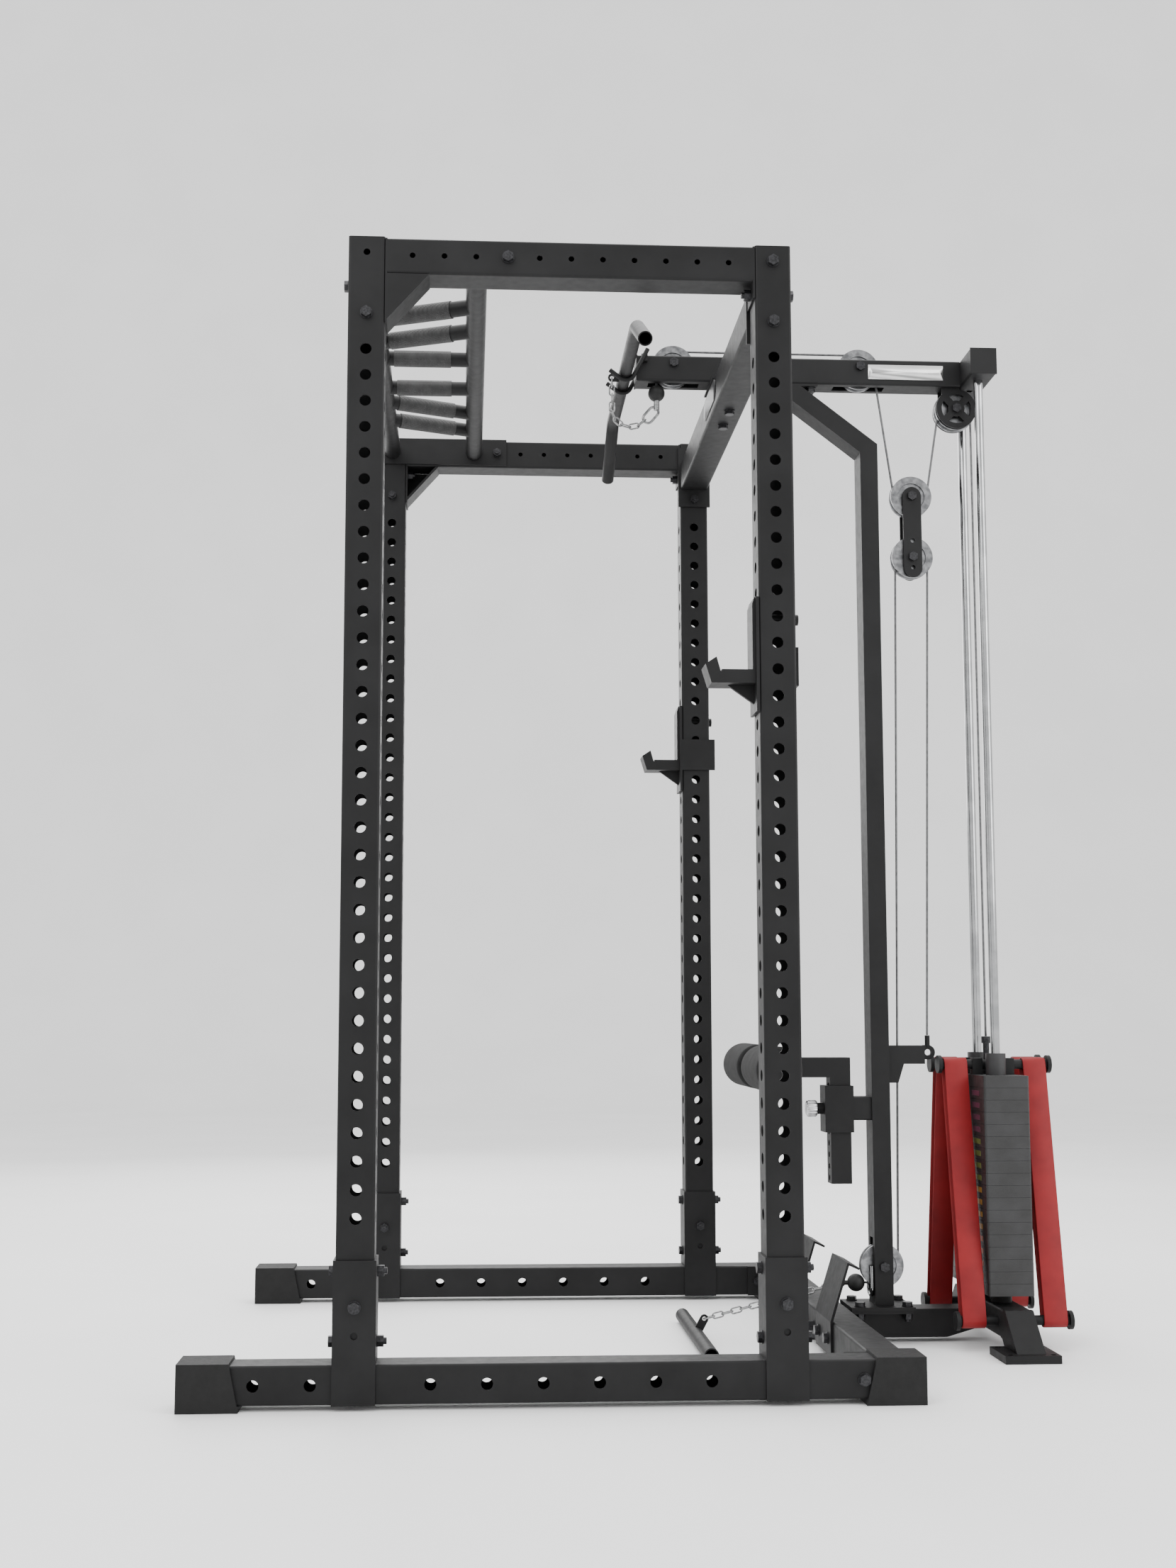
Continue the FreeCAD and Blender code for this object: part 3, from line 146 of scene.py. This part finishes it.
class Shade:
    """A node material under construction: a shader with helpers for patterns."""

    def __init__(self, name, rough, metal=0.0, **inputs):
        self.material = bpy.data.materials.new(name)
        self.material.use_nodes = True
        self.tree = self.material.node_tree
        self.shader = self.tree.nodes["Principled BSDF"]
        self.shader.inputs["Roughness"].default_value = rough
        self.shader.inputs["Metallic"].default_value = metal
        for key, value in inputs.items():
            self.shader.inputs[key.replace("_", " ")].default_value = value
        place = self.tree.nodes.new("ShaderNodeNewGeometry")
        self.place = place.outputs["Position"]

    def noise(self, scale, detail=3.0, source=None):
        node = self.tree.nodes.new("ShaderNodeTexNoise")
        node.inputs["Scale"].default_value = scale
        node.inputs["Detail"].default_value = detail
        self.link(source or self.place, node.inputs["Vector"])
        return node.outputs["Fac"]

    def cells(self, scale):
        node = self.tree.nodes.new("ShaderNodeTexVoronoi")
        node.inputs["Scale"].default_value = scale
        self.link(self.place, node.inputs["Vector"])
        return node.outputs["Distance"]

    def bands(self, scale, axis, distortion=0.0):
        node = self.tree.nodes.new("ShaderNodeTexWave")
        node.bands_direction = axis
        node.inputs["Scale"].default_value = scale
        node.inputs["Distortion"].default_value = distortion
        self.link(self.place, node.inputs["Vector"])
        return node.outputs["Fac"]

    def math(self, operation, first, second):
        node = self.tree.nodes.new("ShaderNodeMath")
        node.operation = operation
        for socket, value in zip(node.inputs, (first, second)):
            if isinstance(value, (int, float)):
                socket.default_value = value
            else:
                self.link(value, socket)
        return node.outputs[0]

    def ramp(self, source, low, high, start=0.35, end=0.65):
        node = self.tree.nodes.new("ShaderNodeValToRGB")
        node.color_ramp.elements[0].position = start
        node.color_ramp.elements[1].position = end
        node.color_ramp.elements[0].color = (*low, 1.0)
        node.color_ramp.elements[1].color = (*high, 1.0)
        self.link(source, node.inputs["Fac"])
        return node.outputs["Color"]

    def painted_edge_highlight(self):
        """High where the surface bends outwards."""
        node = self.tree.nodes.new("ShaderNodeNewGeometry")
        return node.outputs["Pointiness"]

    def colour(self, source):
        self.link(source, self.shader.inputs["Base Color"])

    def rough(self, source, low, high):
        node = self.tree.nodes.new("ShaderNodeMapRange")
        node.inputs["To Min"].default_value = low
        node.inputs["To Max"].default_value = high
        self.link(source, node.inputs["Value"])
        self.link(node.outputs["Result"], self.shader.inputs["Roughness"])

    def bump(self, source, strength, distance):
        node = self.tree.nodes.new("ShaderNodeBump")
        node.inputs["Strength"].default_value = strength
        node.inputs["Distance"].default_value = distance
        self.link(source, node.inputs["Height"])
        self.link(node.outputs["Normal"], self.shader.inputs["Normal"])

    def link(self, source, target):
        self.tree.links.new(source, target)


def floor_material():
    shade = Shade("floor_paint", 0.62)
    shade.colour(shade.ramp(shade.noise(1.4), (0.90, 0.90, 0.90), (0.93, 0.93, 0.93)))
    shade.bump(shade.noise(90.0), 0.05, 0.001)
    return shade.material


def powder_coat():
    """Black powder coat: fine orange peel, with outward edges painted slightly greyer as a painted edge
    highlight.
    """
    shade = Shade("powder_coat", 0.5, Specular_IOR_Level=0.22)
    mottle = shade.noise(9.0, 5.0)
    # pointiness lightens the outward edges: a painted edge highlight added to the random mottle
    tone = shade.math("ADD", mottle, shade.math("MULTIPLY", shade.painted_edge_highlight(), 0.25))
    shade.colour(shade.ramp(tone, (0.0045, 0.0045, 0.0047), (0.009, 0.009, 0.0094), 0.45, 0.85))
    shade.rough(shade.noise(60.0, 2.0), 0.44, 0.6)
    shade.bump(shade.noise(1400.0, 2.0), 0.16, 0.0004)
    return shade.material


def black_oxide():
    shade = Shade("black_oxide", 0.38, 0.6)
    shade.colour(shade.ramp(shade.noise(240.0), (0.012, 0.012, 0.013), (0.035, 0.035, 0.038)))
    shade.rough(shade.noise(300.0), 0.28, 0.5)
    shade.bump(shade.noise(900.0), 0.12, 0.0003)
    return shade.material


def moulded_rubber(name, tone, rough=0.68):
    shade = Shade(name, rough, Specular_IOR_Level=0.25)
    low = [value * 0.8 for value in tone]
    shade.colour(shade.ramp(shade.noise(35.0, 5.0), low, tone))
    shade.rough(shade.noise(120.0), rough - 0.1, rough + 0.1)
    shade.bump(shade.noise(1100.0, 3.0), 0.25, 0.0005)
    return shade.material


def ribbed_grip():
    """Rubber grip with a fine cross-cut pattern."""
    shade = Shade("ribbed_grip", 0.6)
    shade.colour(shade.ramp(shade.noise(60.0), (0.010, 0.010, 0.010), (0.022, 0.022, 0.022)))
    ridges = shade.math("MULTIPLY", shade.bands(90.0, "X"), shade.bands(90.0, "Y"))
    shade.bump(ridges, 0.7, 0.0012)
    return shade.material


def closed_cell_foam():
    """Black foam with a soft sheen and fine open pores."""
    shade = Shade("closed_cell_foam", 0.85, Specular_IOR_Level=0.25)
    shade.colour(shade.ramp(shade.noise(40.0, 6.0), (0.007, 0.007, 0.007), (0.015, 0.015, 0.015)))
    pores = shade.math("ADD", shade.cells(520.0), shade.noise(260.0, 4.0))
    shade.bump(pores, 0.5, 0.0009)
    return shade.material


def red_latex():
    """Natural red latex, a little darker in patches, with a soft gloss."""
    shade = Shade("red_latex", 0.55, Specular_IOR_Level=0.3)
    shade.colour(shade.ramp(shade.noise(14.0, 4.0), (0.17, 0.005, 0.007), (0.23, 0.008, 0.010)))
    shade.rough(shade.noise(50.0), 0.48, 0.64)
    shade.bump(shade.noise(380.0, 2.0), 0.1, 0.0005)
    return shade.material


def turned_aluminium(name="turned_aluminium", low=(0.12, 0.122, 0.126), high=(0.26, 0.263, 0.27)):
    shade = Shade(name, 0.34, 1.0)
    shade.colour(shade.ramp(shade.noise(80.0), low, high))
    shade.rough(shade.noise(900.0), 0.26, 0.44)
    shade.bump(shade.noise(1600.0), 0.08, 0.0002)
    return shade.material


def polished_chrome():
    shade = Shade("polished_chrome", 0.12, 1.0)
    shade.colour(shade.ramp(shade.noise(20.0), (0.34, 0.345, 0.35), (0.46, 0.465, 0.47)))
    shade.rough(shade.noise(40.0), 0.07, 0.18)
    shade.bump(shade.noise(700.0), 0.02, 0.0001)
    return shade.material


def bright_zinc():
    shade = Shade("bright_zinc", 0.35, 1.0)
    shade.colour(shade.ramp(shade.noise(160.0), (0.16, 0.163, 0.166), (0.34, 0.34, 0.34)))
    shade.rough(shade.noise(210.0), 0.24, 0.46)
    shade.bump(shade.noise(800.0), 0.08, 0.0002)
    return shade.material


def coated_rope():
    """Grey plastic coat over a laid wire rope."""
    shade = Shade("coated_rope", 0.38, Coat_Weight=0.3)
    shade.colour(shade.ramp(shade.noise(120.0), (0.06, 0.061, 0.063), (0.11, 0.111, 0.114)))
    shade.rough(shade.noise(200.0), 0.3, 0.46)
    shade.bump(shade.bands(420.0, "DIAGONAL"), 0.35, 0.0004)
    return shade.material


def painted_iron():
    shade = Shade("painted_iron", 0.5)
    shade.colour(shade.ramp(shade.noise(24.0, 6.0), (0.008, 0.008, 0.008), (0.016, 0.016, 0.017)))
    shade.rough(shade.noise(70.0), 0.4, 0.62)
    shade.bump(shade.noise(420.0, 5.0), 0.3, 0.0006)
    return shade.material


def satin_badge():
    shade = Shade("satin_badge", 0.32, 1.0)
    shade.colour(shade.ramp(shade.noise(12.0), (0.6, 0.6, 0.6), (0.76, 0.76, 0.75)))
    shade.rough(shade.noise(600.0), 0.26, 0.4)
    shade.bump(shade.bands(900.0, "X", 2.0), 0.06, 0.0001)
    return shade.material


def grey_plastic(name="grey_plastic", tone=(0.16, 0.165, 0.17)):
    shade = Shade(name, 0.48)
    low = [value * 0.82 for value in tone]
    shade.colour(shade.ramp(shade.noise(50.0), low, tone))
    shade.rough(shade.noise(90.0), 0.4, 0.58)
    shade.bump(shade.noise(1000.0), 0.12, 0.0003)
    return shade.material


def printed_label(name, tone):
    shade = Shade(name, 0.45)
    low = [value * 0.88 for value in tone]
    shade.colour(shade.ramp(shade.noise(220.0), low, tone))
    shade.bump(shade.noise(700.0), 0.05, 0.0001)
    return shade.material


# ---------------------------------------------------------------- mesh helpers

def new_piece(name, mesh, material, smooth=True):
    obj = bpy.data.objects.new(name, mesh)
    bpy.context.collection.objects.link(obj)
    mesh.materials.clear()
    mesh.materials.append(material)
    if smooth:
        mesh.shade_smooth()
        mesh.set_sharp_from_angle(angle=math.radians(35))
    return obj


def from_bmesh(name, work, material):
    mesh = bpy.data.meshes.new(name)
    bmesh.ops.remove_doubles(work, verts=work.verts, dist=1e-6)
    bmesh.ops.recalc_face_normals(work, faces=work.faces)
    work.to_mesh(mesh)
    work.free()
    return new_piece(name, mesh, material)


def cut_plane(work, point, normal, clear):
    geometry = work.verts[:] + work.edges[:] + work.faces[:]
    bmesh.ops.bisect_plane(work, geom=geometry, plane_co=point, plane_no=normal, clear_outer=clear)


def stretch_of(node, name, material, low, high, slices=0, along=2):
    """The part of a CAD node inside a box, cut into slices along one axis so that it can bend."""
    work = bmesh.new()
    work.from_mesh(NODES[node].data)
    bmesh.ops.remove_doubles(work, verts=work.verts, dist=1e-5)
    for axis in range(3):
        normal = Vector((0, 0, 0))
        normal[axis] = 1.0
        cut_plane(work, Vector(high), normal, True)
        cut_plane(work, Vector(low), -normal, True)
    ends = [vert.co[along] for vert in work.verts]
    for step in range(1, slices):
        point = Vector((0, 0, 0))
        point[along] = min(ends) + (max(ends) - min(ends)) * step / slices
        normal = Vector((0, 0, 0))
        normal[along] = 1.0
        cut_plane(work, point, normal, False)
    return from_bmesh(name, work, material)


def revolve(name, profile, place, axis, material, segments=64, ripple=None):
    """A closed profile of (radius, height) turned round an axis through a place."""
    work = bmesh.new()
    turn = axis.to_track_quat("Z", "Y").to_matrix()
    rings = []
    for step in range(segments):
        angle = 2 * math.pi * step / segments
        ring = []
        for radius, height in profile:
            size = radius * (ripple(angle, height) if ripple else 1.0)
            point = Vector((size * math.cos(angle), size * math.sin(angle), height))
            ring.append(work.verts.new(turn @ point + place))
        rings.append(ring)
    count = len(profile)
    for step in range(segments):
        first, second = rings[step], rings[(step + 1) % segments]
        for index in range(count):
            after = (index + 1) % count
            work.faces.new((first[index], first[after], second[after], second[index]))
    return from_bmesh(name, work, material)


def rounded_slab(name, low, high, radius, material, segments=3):
    """A block with its edges rounded."""
    work = bmesh.new()
    size = Vector(high) - Vector(low)
    place = Matrix.Translation((Vector(high) + Vector(low)) / 2) @ Matrix.Diagonal((*size, 1.0))
    bmesh.ops.create_cube(work, size=1.0, matrix=place)
    bmesh.ops.bevel(work, geom=work.edges[:], offset=radius, segments=segments, affect="EDGES",
                    clamp_overlap=True)
    return from_bmesh(name, work, material)


# ---------------------------------------------------------------- cables, chains and bands

def cable_pieces(material):
    """Each cable in stretches; a run with one body rides on it, and a run between two bodies is baked
    where it lies.
    """
    front, mid, low = middle("front_pulley"), middle("middle_pulley"), middle("low_pulley")
    stack = middle("stack_pulley")
    upper, lower = middle("upper_block_wheel"), middle("lower_block_wheel")
    far = FAR
    lat = [
        ("lat_cable_to_ball", (-far, -far, 0), (front.x, far, front.z), "lat_end", "frame"),
        ("lat_cable_over_beam", (-far, -far, front.z), (mid.x + 0.06, far, far), "frame", None),
        ("lat_cable_to_block", (mid.x, -far, upper.z), (upper.x, far, mid.z), "block", "frame"),
        ("lat_cable_under_wheel", (mid.x, -far, lower.z), (stack.x, far, upper.z), "block", None),
        ("lat_cable_from_block", (upper.x, -far, upper.z), (stack.x, far, stack.z), "block", "frame"),
        ("lat_cable_over_stack", (upper.x, -far, stack.z), (far, far, front.z - 0.02), "frame", None),
        ("lat_cable_to_stack", (stack.x, -far, 0), (far, far, stack.z), "carriage", "frame"),
    ]
    row = [
        ("row_cable_under_low", (low.x, -far, 0), (far, far, low.z), "frame", None),
        ("row_cable_to_block", (low.x, -far, low.z), (lower.x, far, lower.z), "frame", "block"),
        ("row_cable_over_wheel", (low.x, -far, lower.z), (far, far, far), "block", None),
        ("row_cable_to_anchor", (lower.x, -far, low.z), (far, far, lower.z), "frame", "block"),
    ]
    for node, runs in (("lat_cable", lat), ("row_cable", row)):
        for name, start, end, body, other in runs:
            attach_run(stretch_of(node, name, material, start, end, 48 if other else 0), body, other, 2)
            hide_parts(node)
    pull = stretch_of("row_cable", "row_cable_to_ball", material, (-far, -far, 0), (low.x, far, low.z),
                      32, along=0)
    attach_run(pull, "row_end", "frame", 0)
    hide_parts("row_cable")


def attach_run(piece, body, other, along):
    """Rides a piece on one body; a piece between two bodies is baked where it lies, not bent."""
    if other is None:
        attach(piece, body)
        return
    values = [vert.co[along] for vert in piece.data.vertices]
    start, end = Vector((0, 0, 0)), Vector((0, 0, 0))
    start[along] = min(values)
    end[along] = max(values)
    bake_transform(piece)


def band_loop(name, centre_x, lower, upper, material):
    """A flat loop with rounded edges round two pegs."""
    run = upper - lower
    heading = math.atan2(run.z, run.y)
    path = []
    for peg, first in ((upper, heading + math.pi / 2), (lower, heading - math.pi / 2)):
        for step in range(17):
            angle = first - math.pi * step / 16
            path.append((peg, Vector((0, math.cos(angle), math.sin(angle)))))
    full = []
    for index, (peg, out) in enumerate(path):
        full.append((peg, out))
        after = path[(index + 1) % len(path)][0]
        if (after - peg).length > 0.01:
            for step in range(1, 60):
                full.append((peg.lerp(after, step / 60), out))
    half, edge = BAND_WIDTH / 2, BAND_THICK / 2
    section = []
    for step in range(5):
        angle = -math.pi / 2 + math.pi * step / 4
        section.append((half - edge + edge * math.cos(angle), edge * math.sin(angle)))
    section += [(-x, -y) for x, y in section]
    work = bmesh.new()
    rings = []
    for peg, out in full:
        ring = []
        for across, depth in section:
            point = peg + out * (PEG_RADIUS + edge + depth)
            ring.append(work.verts.new((centre_x + across, point.y, point.z)))
        rings.append(ring)
    for first, second in zip(rings, rings[1:] + rings[:1]):
        for index in range(len(section)):
            after = (index + 1) % len(section)
            work.faces.new((first[index], first[after], second[after], second[index]))
    return from_bmesh(name, work, material)


def resistance_bands(material):
    low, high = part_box("lower_band_pegs")
    upper_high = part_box("upper_band_pegs")[1]
    middle_x = (low[0] + high[0]) / 2
    for side, label in ((-1, "right"), (1, "left")):
        lower = Vector((0, side * (high[1] - PEG_HEAD_RADIUS), high[2] - PEG_HEAD_RADIUS))
        upper = Vector((0, side * (upper_high[1] - PEG_HEAD_RADIUS), upper_high[2] - PEG_HEAD_RADIUS))
        for offset, where in ((-BAND_OFFSET, "front"), (BAND_OFFSET, "rear")):
            piece = band_loop(f"band_{where}_{label}", middle_x + offset, lower, upper, material)
            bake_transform(piece)
            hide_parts("resistance_bands")


def lat_chain(material):
    """The chain goes with the snap hook."""
    chain = stretch_of("lat_chain", "lat_chain_links", material, (-FAR, -FAR, -FAR), (FAR, FAR, FAR))
    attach(chain, "lat_end")
    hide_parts("lat_chain")


# ---------------------------------------------------------------- soft and moulded pieces

def foam_roller(side, label, material):
    """A foam tube with softly rounded ends."""
    node = f"knee_roller_{label}"
    low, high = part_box(node)
    centre = middle(node)
    half = (high[1] - low[1]) / 2
    radius = (high[0] - low[0]) / 2
    bore, edge = 0.0128, 0.007
    profile = [(bore, -half), (radius - edge, -half)]
    for step in range(1, 6):
        angle = math.pi / 2 * step / 5
        profile.append((radius - edge + edge * math.sin(angle), -half + edge - edge * math.cos(angle)))
    for step in range(1, 12):
        profile.append((radius, -half + edge + (2 * half - 2 * edge) * step / 12))
    for step in range(5, 0, -1):
        angle = math.pi / 2 * step / 5
        profile.append((radius - edge + edge * math.sin(angle), half - edge + edge * math.cos(angle)))
    profile += [(radius - edge, half), (bore, half)]
    roller = revolve(f"foam_roller_{label}", profile, centre, Vector((0, 1, 0)), material, 72)
    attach(roller, f"roller_{label}")
    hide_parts(node)


def pop_pin(knob_material, steel):
    """The pull pin: a bright metal knob with deep finger ribs on a bright shank."""
    low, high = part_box("pop_pin")
    centre = middle("pop_pin")
    radius = (high[2] - low[2]) / 2
    length = 0.024
    place = Vector((low[0], centre.y, centre.z))
    profile = [(0.0005, 0.0), (radius - 0.004, 0.0), (radius - 0.001, 0.002), (radius, 0.005),
               (radius, length - 0.004), (radius - 0.002, length - 0.001), (radius - 0.006, length),
               (0.0005, length)]

    def ribs(angle, height):
        return 1.0 - 0.06 * (0.5 + 0.5 * math.cos(16 * angle))

    knob = revolve("pop_pin_knob", profile, place, Vector((1, 0, 0)), knob_material, 128, ribs)
    shank_profile = [(0.0005, 0.0), (0.006, 0.0), (0.006, high[0] - low[0] - length - 0.001),
                     (0.005, high[0] - low[0] - length), (0.0005, high[0] - low[0] - length)]
    shank = revolve("pop_pin_shank", shank_profile, place + Vector((length, 0, 0)), Vector((1, 0, 0)),
                    steel, 32)
    for piece, name in ((knob, "knob"), (shank, "zinc")):
        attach(piece, "pull_pin")
        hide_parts("pop_pin")


# ---------------------------------------------------------------- small details

def plate_labels(materials):
    """Small coloured dashes on the front edge of every plate, either side of the pin holes."""
    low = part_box("weight_plates_resting")[0]
    head_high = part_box("head_plate")[1]
    pitch = (head_high[2] - low[2] + PLATE_GAP) / PLATE_COUNT
    face = low[0]
    labelled = PLATE_COUNT - 1
    for index in range(labelled):
        height = low[2] + pitch * index + LABEL_HEIGHT
        body = "frame" if index < PLATES_RESTING else "carriage"
        tone = materials[min(len(materials) - 1, index * len(materials) // labelled)]
        for side in (-1, 1):
            ends = sorted(side * reach for reach in LABEL_SPAN)
            label = rounded_slab(f"plate_label_{index + 1}_{'right' if side < 0 else 'left'}",
                                 (face - 0.0006, ends[0], height - 0.0055),
                                 (face + 0.0001, ends[1], height + 0.0055), 0.0002, tone, 1)
            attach(label, body)


def tube_end_cap(name, centre, size, body, material):
    """A low moulded cap with a soft edge that closes the top of an upright."""
    half = size / 2
    cap = rounded_slab(name, (centre.x - half, centre.y - half, centre.z - 0.004),
                       (centre.x + half, centre.y + half, centre.z + 0.0008), 0.0008, material)
    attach(cap, body)


def upright_caps(material):
    for end in ("front", "rear"):
        for side in ("right", "left"):
            low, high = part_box(f"upright_{end}_{side}")
            top = Vector(((low[0] + high[0]) / 2, (low[1] + high[1]) / 2, high[2]))
            tube_end_cap(f"upright_cap_{end}_{side}", top, high[0] - low[0] - 0.0066, "frame", material)


def weld_bead(name, points, material, radius=0.0022):
    """A rippled weld bead that follows a short run of straight stretches."""
    work = bmesh.new()
    rings = []
    for first, second in zip(points, points[1:]):
        run = second - first
        turn = run.to_track_quat("Z", "Y").to_matrix()
        count = max(2, int(run.length / 0.0014))
        for step in range(count + 1):
            size = radius * (1.0 + 0.16 * math.sin(step * 2.1))
            centre = first + run * (step / count)
            ring = []
            for corner in range(8):
                angle = corner * math.pi / 4
                ring.append(work.verts.new(centre + turn @ Vector((size * math.cos(angle),
                                                                   size * math.sin(angle), 0))))
            rings.append(ring)
    for first, second in zip(rings, rings[1:]):
        for index in range(8):
            after = (index + 1) % 8
            work.faces.new((first[index], first[after], second[after], second[index]))
    for ring in (rings[0], rings[-1]):
        work.faces.new(ring)
    bead = from_bmesh(name, work, material)
    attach(bead, "frame")
    return bead


def frame_welds(material):
    """Beads where the gussets, the side beams and the tower floor beam are welded."""
    for label, side in (("right", -1), ("left", 1)):
        low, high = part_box(f"side_beam_{label}")
        face = side * max(abs(low[1]), abs(high[1]))
        plate = low[0] + 0.004
        under = high[2] - 0.070
        outer = face - side * 0.004
        weld_bead(f"gusset_weld_{label}", [Vector((plate, outer, under - 0.085)),
                                           Vector((plate, outer, under))], material)
        seam = [Vector((low[0] + 0.004, face - side * 0.006, high[2] - 0.0012)),
                Vector((low[0] + 0.004, face - side * 0.064, high[2] - 0.0012))]
        weld_bead(f"beam_weld_{label}", seam, material, 0.0012)
    beam_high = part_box("tower_floor_beam")[1]
    for side in (-1, 1):
        label = "right" if side < 0 else "left"
        run = [Vector((beam_high[0], side * 0.0305, 0.036)), Vector((beam_high[0], side * 0.0305, 0.069))]
        weld_bead(f"base_weld_{label}", run, material)


def repaint(node, material):
    for slot in NODES[node].material_slots:
        slot.material = material


# ---------------------------------------------------------------- the scene

add_camera()
add_studio()
add_floor()

steel = powder_coat()
rubber = moulded_rubber("moulded_rubber", (0.009, 0.009, 0.009))
ball_rubber = moulded_rubber("ball_rubber", (0.014, 0.014, 0.014), 0.5)
zinc = bright_zinc()
chrome = polished_chrome()
bolts = black_oxide()
rope = coated_rope()
iron = painted_iron()
aluminium = turned_aluminium()
latex = red_latex()
foam = closed_cell_foam()
knob = turned_aluminium("knob_metal", (0.45, 0.45, 0.46), (0.62, 0.62, 0.63))
liner = grey_plastic("black_plastic", (0.02, 0.02, 0.021))

cable_pieces(rope)
lat_chain(zinc)
resistance_bands(latex)

FINISHES = {
    "rubber_black": rubber,
    "rubber_ball": ball_rubber,
    "black_bolt": bolts,
    "chrome": chrome,
    "zinc": zinc,
    "pulley_metal": aluminium,
    "iron_plate": iron,
    "badge": satin_badge(),
    "knob": liner,
    "black_steel": steel,
}
for entry in frame["record"]["subparts"]:
    repaint(entry["node"], FINISHES.get(entry["material_slot"], steel))
repaint("pull_up_grips", ribbed_grip())
repaint("stack_pulley_cover", steel)

oval = stretch_of("blank_badges", "oval_badge", printed_label("oval_enamel", (0.022, 0.022, 0.023)),
                  (-FAR, -FAR, 0.0), (BADGE_SPLIT, FAR, FAR))
plate = stretch_of("blank_badges", "beam_plate", satin_badge(), (BADGE_SPLIT, -FAR, 0.0), (FAR, FAR, FAR))
for badge in (oval, plate):
    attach(badge, "frame")
    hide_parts("blank_badges")

foam_roller(-1, "right", foam)
foam_roller(1, "left", foam)
pop_pin(knob, zinc)
upright_caps(rubber)
frame_welds(steel)
plate_labels([
    printed_label("label_orange", (0.24, 0.05, 0.02)),
    printed_label("label_amber", (0.25, 0.12, 0.02)),
    printed_label("label_green", (0.075, 0.09, 0.02)),
    printed_label("label_plum", (0.075, 0.02, 0.04)),
])
